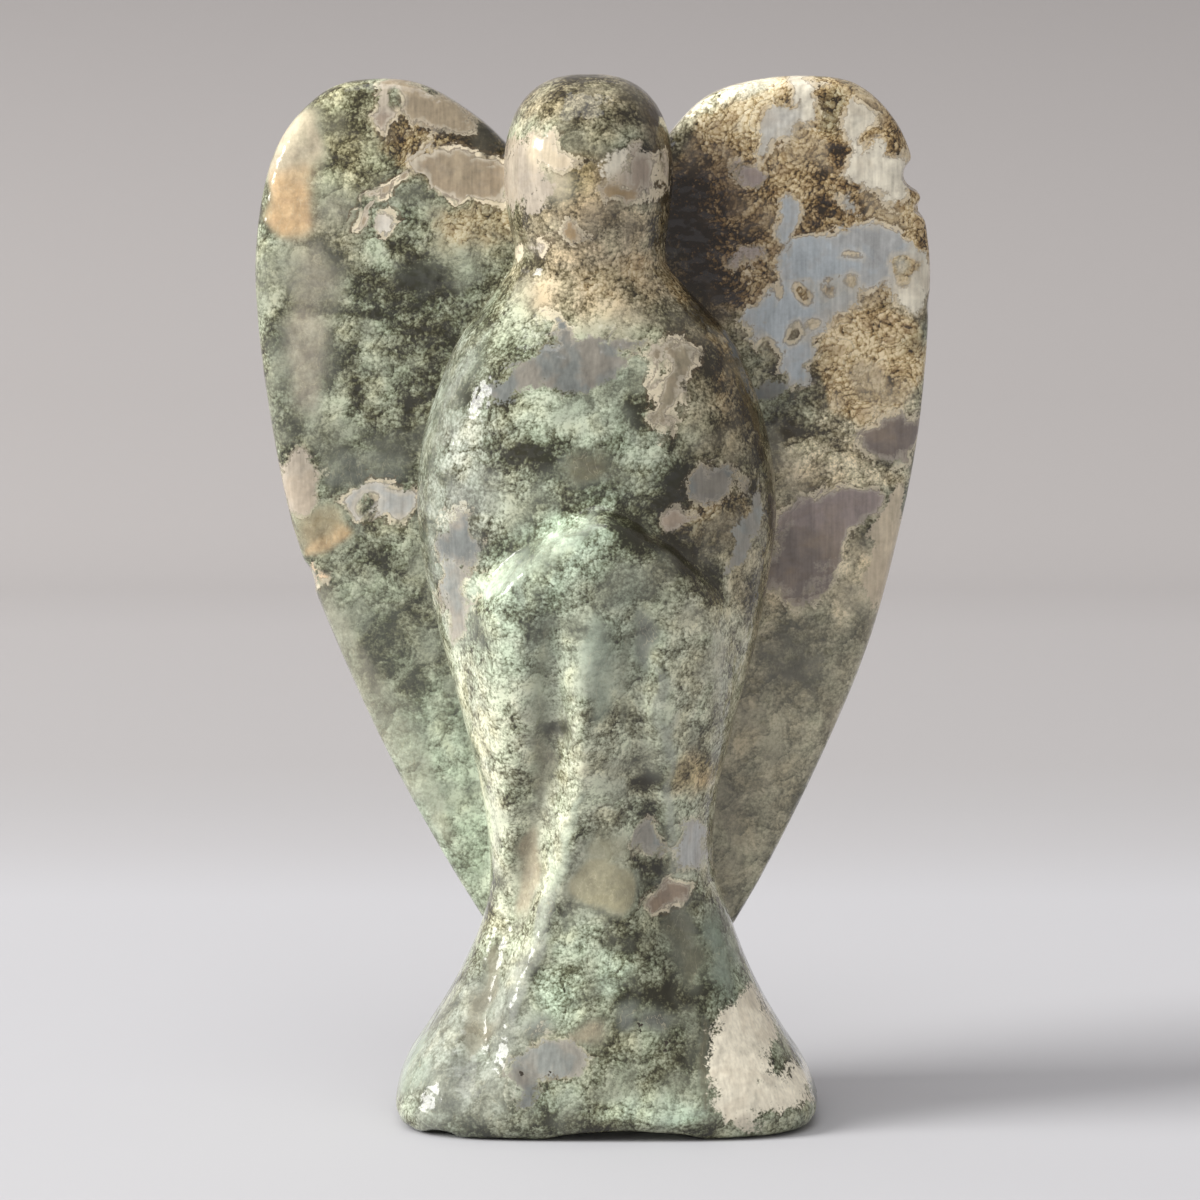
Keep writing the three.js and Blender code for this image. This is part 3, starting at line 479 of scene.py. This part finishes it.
def feed(socket, value):
    """Gives an input a fixed value, or the output of another node."""
    if isinstance(value, bpy.types.NodeSocket):
        tree.links.new(value, socket)
    elif isinstance(value, (tuple, list, np.ndarray)) and len(socket.default_value) == 4:
        socket.default_value = (*value[:3], 1)
    else:
        socket.default_value = value


def node(kind, settings=(), *values, **named):
    """A new node with its settings, its first inputs in order, and others by name."""
    made = tree.nodes.new("ShaderNode" + kind)
    for name, value in dict(settings).items():
        setattr(made, name, value)
    for socket, value in zip(made.inputs, values):
        if value is not None:
            feed(socket, value)
    for name, value in named.items():
        feed(made.inputs[name.replace("_", " ")], value)
    return made


def maths(operation, *values):
    return node("Math", {"operation": operation}, *values).outputs[0]


def add(*values):
    total = values[0]
    for value in values[1:]:
        total = maths("ADD", total, value)
    return total


def swing(value, amount, middle=0.5):
    """A value's distance from its middle, times an amount."""
    return maths("MULTIPLY", maths("SUBTRACT", value, middle), amount)


def vector(operation, *values):
    return node("VectorMath", {"operation": operation}, *values).outputs[0]


def scaled(place, factor):
    return node("VectorMath", {"operation": "SCALE"}, place, Scale=factor).outputs[0]


def clouds(place, size, detail=3, rough=0.55, shift=0):
    """Cloudy noise with a mean of 0.5, whose largest blobs are about size mm across."""
    moved = vector("ADD", place, (shift, shift * 1.7, -shift)) if shift else place
    return node("TexNoise", (), Vector=moved, Scale=1 / size, Detail=detail, Roughness=rough)


def blend(share, under, over, how="MIX"):
    mixed = node("Mix", {"data_type": "RGBA", "blend_type": how, "clamp_factor": True})
    feed(mixed.inputs[0], share)
    feed(mixed.inputs[6], under)
    feed(mixed.inputs[7], over)
    return mixed.outputs[2]


def ramp(value, stops):
    """A colour or a grey for each level of a value."""
    made = node("ValToRGB", (), value)
    bar = made.color_ramp
    while len(bar.elements) < len(stops):
        bar.elements.new(0.5)
    for element, (level, colour) in zip(bar.elements, stops):
        element.position = level
        element.color = (*colour, 1) if isinstance(colour, (tuple, np.ndarray)) else (colour,) * 3 + (1,)
    return made.outputs[0]


def step_up(value, start, end):
    """0 below start and 1 above end, with a smooth change between them."""
    return node("MapRange", {"interpolation_type": "SMOOTHSTEP"}, value, start, end, 0.0, 1.0).outputs[0]


def line(value, middle, width):
    """1 where a value is at the middle, falling to 0 at half the width on either side."""
    return step_up(maths("ABSOLUTE", maths("SUBTRACT", value, middle)), width / 2, width / 6)


def kept(name, output="Fac"):
    return node("Attribute", {"attribute_name": name, "attribute_type": "GEOMETRY"}).outputs[output]


place = node("Mapping", (), node("TexCoord").outputs["Object"], Scale=(1000, 1000, 1000)).outputs[0]
bend = clouds(place, 3.0, 1.5, 0.6).outputs["Color"]
bent = vector("ADD", place, scaled(vector("SUBTRACT", bend, (0.5, 0.5, 0.5)), 2.6))
hue = node("SeparateColor", (), bend).outputs[0]

# Crumbs in clumps over dark gaps. Each lump has painted light on its upper left and painted shade on its
# lower right.
clumps = clouds(bent, 4.2, 3, 0.6, 3).outputs[0]
grit = clouds(place, 0.36, 1.5, 0.9, 5)
crumbs = grit.outputs[0]
jostled = vector("ADD", bent, scaled(vector("SUBTRACT", grit.outputs["Color"], (0.5, 0.5, 0.5)), 0.5))


def lumps(where, size):
    """Rounded lumps about size mm across: how high each point stands on its lump, painted paler to the
    upper left as painted light, and the lump itself.
    """
    cell = node("TexVoronoi", {"feature": "F1"}, Vector=where, Scale=1 / size)
    aside = vector("SUBTRACT", where, cell.outputs["Position"])
    # Painted light and shade: the side of each lump towards the upper left is made paler, the other side
    # darker
    painted_light_from = (-0.6 / size, 0.0, 0.8 / size)
    painted_light_side = node("VectorMath", {"operation": "DOT_PRODUCT"}, aside, painted_light_from).outputs["Value"]
    return add(swing(cell.outputs["Distance"], -0.8, 0.45), maths("MULTIPLY", painted_light_side, 0.45)), cell


heap_and_painted_light, crumb = lumps(jostled, 0.42)
mound_and_painted_light, lobe = lumps(jostled, 1.9)
haze = kept("haze")
paler = kept("paler")
calm = maths("SUBTRACT", 1.0, maths("MULTIPLY", haze, 0.85))
rough = add(maths("MULTIPLY", heap_and_painted_light, 0.5), swing(crumbs, 1.5))
level = add(0.5, swing(clumps, 1.9), maths("MULTIPLY", mound_and_painted_light, 0.55), maths("MULTIPLY", rough, calm), paler)
LEVELS = [
    (0.0, (0.04, 0.036, 0.026)), (0.16, (0.09, 0.084, 0.062)), (0.36, (0.195, 0.19, 0.15)),
    (0.45, (0.275, 0.275, 0.24)), (0.6, (0.4, 0.405, 0.375)), (0.8, (0.6, 0.605, 0.575)),
    (1.0, (0.82, 0.82, 0.8)),
]
tone = ramp(hue, [(0.36, (0.96, 1.0, 0.98)), (0.5, (1, 1, 1)), (0.64, (1.02, 0.98, 0.92))])
moss = blend(1.0, kept("moss_tint", "Color"), ramp(level, LEVELS), "MULTIPLY")
moss = scaled(blend(1.0, moss, tone, "MULTIPLY"), 2.6)

# Brown crusts, like fish roe: tan crumbs, and lobes with a cream skin round a golden heart
each = node("SeparateColor", (), crumb.outputs["Color"]).outputs[0]
crust = add(0.54, maths("MULTIPLY", heap_and_painted_light, 0.85), swing(crumbs, 1.1), swing(clumps, 1.4), paler)
crust = add(crust, swing(each, 0.25))
roe = ramp(crust, [
    (0.0, srgb(46, 37, 27)), (0.18, srgb(88, 70, 47)), (0.36, srgb(138, 117, 80)),
    (0.52, srgb(176, 155, 115)), (0.72, srgb(212, 198, 164)), (1.0, srgb(238, 230, 208)),
])
radius = lobe.outputs["Distance"]
ringed = maths("MULTIPLY", step_up(crust, 0.2, 0.5), 0.35)
roe = blend(maths("MULTIPLY", step_up(radius, 0.42, 0.25), 0.5), roe, srgb(158, 128, 74), "MULTIPLY")
roe = blend(maths("MULTIPLY", line(radius, 0.48, 0.16), ringed), roe, srgb(216, 204, 176))
roe = blend(maths("MULTIPLY", line(radius, 0.6, 0.12), ringed), roe, srgb(92, 76, 54))
roe = blend(0.6, roe, scaled(kept("moss_tint", "Color"), 2.2), "MULTIPLY")
crowd = step_up(add(kept("cells"), swing(clumps, 1.0)), 0.3, 0.7)
moss = blend(maths("MULTIPLY", crowd, 0.9), moss, roe)

# Here and there the moss lies deeper, and the stone over it is milky: its colour shows, but blurred
streaks = clouds(vector("MULTIPLY", bent, (1.0, 1.0, 0.45)), 1.8, 3, 0.6, 41).outputs[0]
veil = add(maths("MULTIPLY", streaks, 0.9), swing(clumps, 0.9), swing(crumbs, 0.4))
blur = add(0.36, veil, maths("MULTIPLY", paler, 0.8))
deeper = maths("MULTIPLY", step_up(clouds(bent, 5.5, 2, 0.5, 23).outputs[0], 0.5, 0.64), 0.5)
moss = blend(deeper, moss, scaled(kept("moss_tint", "Color"), blur))
# The milky marks also lay painted sheen, painted highlights on fold crests and painted shade in grooves
milky_and_painted_light = scaled(kept("haze_and_painted_light_tint", "Color"), add(0.5, streaks, swing(clumps, 0.4), swing(crumbs, 0.5)))
threads = clouds(vector("MULTIPLY", bent, (1.5, 1.0, 0.5)), 1.2, 2, 0.5, 61).outputs[0]
milky_and_painted_light = blend(maths("MULTIPLY", line(threads, 0.5, 0.022), 0.3), milky_and_painted_light, srgb(226, 216, 184))
moss = blend(maths("MULTIPLY", haze, 0.85), moss, milky_and_painted_light)

# Windows, their rinds and the islands in them
crisp = kept("rind")
frayed = maths("SUBTRACT", 1.0, crisp)
fray = maths("MULTIPLY", swing(crumbs, 2.2), add(0.2, frayed))
scallop = add(swing(clumps, 3.8), maths("MULTIPLY", mound_and_painted_light, -1.1), fray)
far_in = add(kept("window_depth"), scallop)
islet = add(kept("island_depth"), maths("MULTIPLY", scallop, 0.35))
far_in = maths("MINIMUM", far_in, maths("MULTIPLY", islet, -1))
rind = maths("MULTIPLY", crisp, step_up(streaks, 0.34, 0.56))
edge = maths("MULTIPLY", crisp, step_up(add(far_in, swing(streaks, 1.4)), 0.75, 0.1))
stain = maths("MULTIPLY", step_up(clumps, 0.45, 0.62), 0.35)
pane = blend(stain, kept("window_tint", "Color"), srgb(140, 124, 104))
pane = blend(maths("MULTIPLY", edge, 0.65), pane, srgb(210, 201, 182))
saw_marks = clouds(vector("MULTIPLY", place, (1.0, 1.0, 0.08)), 0.3, 1, 0.5, 71).outputs[0]
grain = add(maths("MULTIPLY", streaks, 0.86), maths("MULTIPLY", crumbs, 0.3), swing(clumps, 0.8))
pane = scaled(pane, add(0.42, swing(saw_marks, 0.5), grain))
INNER_LINE, CREAM_LINE, OUTER_LINE = srgb(112, 98, 82), srgb(224, 211, 184), srgb(96, 82, 62)
pane = blend(maths("MULTIPLY", line(far_in, 0.08, 0.26), maths("MULTIPLY", rind, 0.6)), pane, INNER_LINE)
moss = blend(maths("MULTIPLY", line(far_in, -0.25, 0.62), rind), moss, CREAM_LINE)
moss = blend(maths("MULTIPLY", line(far_in, -0.66, 0.36), maths("MULTIPLY", rind, 0.75)), moss, OUTER_LINE)
width = add(0.06, maths("MULTIPLY", frayed, 0.3))
surface = blend(step_up(far_in, maths("MULTIPLY", width, -1), width), moss, pane)

# Black specks in the clear stone at the front, and at X 20 a small pit at the toe painted black as its
# shade: their X, their Z and how big they are
SPECKS = [
    (4.4, 11.0, 0.22), (4.5, 10.4, 0.14), (6.9, 9.2, 0.24), (6.8, 8.6, 0.16), (7.3, 9.5, 0.12),
    (-6.6, 6.4, 0.22), (-4.0, 6.5, 0.18), (-16.8, 5.6, 0.3), (20.2, 5.4, 0.36), (20.1, 4.7, 0.25),
]
frilled = vector("ADD", place, scaled(vector("SUBTRACT", grit.outputs["Color"], (0.5, 0.5, 0.5)), 0.9))
FAR_FROM_ANY = 9.0
ABOUT_A_CELL = 0.6
nearest = FAR_FROM_ANY
for x, z, size in SPECKS:
    around = on_stone[np.hypot(on_stone[:, 0] - x, on_stone[:, 2] - z) < ABOUT_A_CELL]
    middle = (x, float(around[:, 1].min()), z)
    away = node("VectorMath", {"operation": "DISTANCE"}, frilled, middle).outputs["Value"]
    nearest = maths("MINIMUM", nearest, maths("SUBTRACT", away, size))
surface = blend(step_up(nearest, 0.06, -0.02), surface, INK)

feed(polish.inputs["Base Color"], surface)
feed(polish.inputs["Roughness"], add(0.04, maths("MULTIPLY", crumbs, 0.12)))
polish.inputs["IOR"].default_value = 1.54
ripple = clouds(place, 1.3, 1.5, 0.5, 51).outputs[0]
bump = node("Bump", (), Strength=1.0, Distance=0.16 * MM, Height=ripple)
feed(polish.inputs["Normal"], bump.outputs[0])

angel.data.materials.clear()
angel.data.materials.append(stone)
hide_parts("angel_carving")
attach(angel, "root")

# The table and the wall behind it
# A sheet of pale card that curves up behind the carving, as a small product set has. It is pale
# round the carving and painted greyer from about 0.15 m behind it, as painted shade on the far card.
TABLE_HALF_WIDTH = 1.5
TABLE_FRONT, TABLE_BACK = -1.2, 0.42
SWEEP_RADIUS = 0.12
WALL_TOP = 1.6
SWEEP_STEPS = 24

profile = [(TABLE_FRONT, 0.0)]
for step in range(SWEEP_STEPS + 1):
    turn = math.pi / 2 * step / SWEEP_STEPS
    profile.append((TABLE_BACK + SWEEP_RADIUS * math.sin(turn), SWEEP_RADIUS * (1 - math.cos(turn))))
profile.append((TABLE_BACK + SWEEP_RADIUS, WALL_TOP))
card = bpy.data.meshes.new("card")
corners = [(side * TABLE_HALF_WIDTH, y, z) for y, z in profile for side in (-1, 1)]
card.from_pydata(corners, [], [(i, i + 1, i + 3, i + 2) for i in range(0, len(corners) - 2, 2)])
card.shade_smooth()
sheet = bpy.data.objects.new("card_sweep", card)
bpy.context.scene.collection.objects.link(sheet)
paper = bpy.data.materials.new("pale_card")
paper.use_nodes = True
matt = paper.node_tree.nodes["Principled BSDF"]
matt.inputs["Roughness"].default_value = 0.8
how_far_back = paper.node_tree.nodes.new("ShaderNodeSeparateXYZ")
fade = paper.node_tree.nodes.new("ShaderNodeValToRGB")
where = paper.node_tree.nodes.new("ShaderNodeTexCoord")
paper.node_tree.links.new(where.outputs["Object"], how_far_back.inputs[0])
paper.node_tree.links.new(how_far_back.outputs["Y"], fade.inputs[0])
paper.node_tree.links.new(fade.outputs[0], matt.inputs["Base Color"])
PALE_CARD, SHADED_WALL_GREY = (0.49, 0.49, 0.51), (0.335, 0.318, 0.315)
WALL_START = 0.5
fade.color_ramp.elements[0].color = (*PALE_CARD, 1)
fade.color_ramp.elements[1].position = WALL_START
fade.color_ramp.elements[1].color = (*SHADED_WALL_GREY, 1)
# Painted shade: the card's colour darkens step by step further back
for metres_back, grey in (
    (0.11, PALE_CARD), (0.145, (0.443, 0.437, 0.448)), (0.176, (0.415, 0.407, 0.413)),
    (0.21, (0.4, 0.388, 0.39)), (0.36, (0.4, 0.385, 0.385)), (0.46, (0.36, 0.343, 0.34)),
):
    fade.color_ramp.elements.new(metres_back).color = (*grey, 1)
card.materials.append(paper)

# Camera and light
# The photograph looks at the carving's front from a little above, from about 0.4 m away, with soft
# daylight from the upper left.
VIEW_ELEVATION = math.radians(7)
VIEW_DISTANCE = 0.42
PICTURE_WIDTH, PIXELS_PER_MM = 1200, 10.6
FRAME_WIDTH_AT_ANGEL = PICTURE_WIDTH / PIXELS_PER_MM * MM
AIM = Vector((0.7 * MM, 0, 49.5 * MM))
camera = bpy.data.objects.new("camera", bpy.data.cameras.new("camera"))
bpy.context.scene.collection.objects.link(camera)
away = Vector((0, -math.cos(VIEW_ELEVATION), math.sin(VIEW_ELEVATION)))
camera.location = AIM + VIEW_DISTANCE * away
camera.rotation_euler = away.to_track_quat("Z", "Y").to_euler()
camera.data.lens = camera.data.sensor_width * VIEW_DISTANCE / FRAME_WIDTH_AT_ANGEL
camera.data.clip_start = 0.01
bpy.context.scene.camera = camera


def soft_light(name, azimuth, elevation, distance, size, power, colour, glints):
    """An area light aimed at the middle of the carving. Without glints, the polish doesn't mirror it."""
    lamp = bpy.data.lights.new(name, "AREA")
    lamp.shape = "RECTANGLE"
    lamp.size, lamp.size_y = size
    lamp.energy = power
    lamp.color = colour
    light = bpy.data.objects.new(name, lamp)
    bpy.context.scene.collection.objects.link(light)
    turn, rise = math.radians(azimuth), math.radians(elevation)
    towards = Vector((math.sin(turn) * math.cos(rise), -math.cos(turn) * math.cos(rise), math.sin(rise)))
    light.location = AIM + distance * towards
    light.rotation_euler = towards.to_track_quat("Z", "Y").to_euler()
    light.visible_glossy = glints


soft_light("daylight", -75, 32, 2.5, (0.8, 1.5), 82, (1, 0.99, 0.97), False)
soft_light("window pane", -76, 17, 2.5, (0.75, 0.5), 14, (1, 0.99, 0.97), True)
soft_light("sky", -20, 72, 2.4, (1.8, 1.8), 20, (0.97, 0.98, 1), True)

world = bpy.data.worlds.new("room")
bpy.context.scene.world = world
world.use_nodes = True
world.node_tree.nodes["Background"].inputs["Color"].default_value = (1, 0.97, 0.95, 1)
world.node_tree.nodes["Background"].inputs["Strength"].default_value = 0.47
bpy.context.scene.view_settings.view_transform = "Standard"
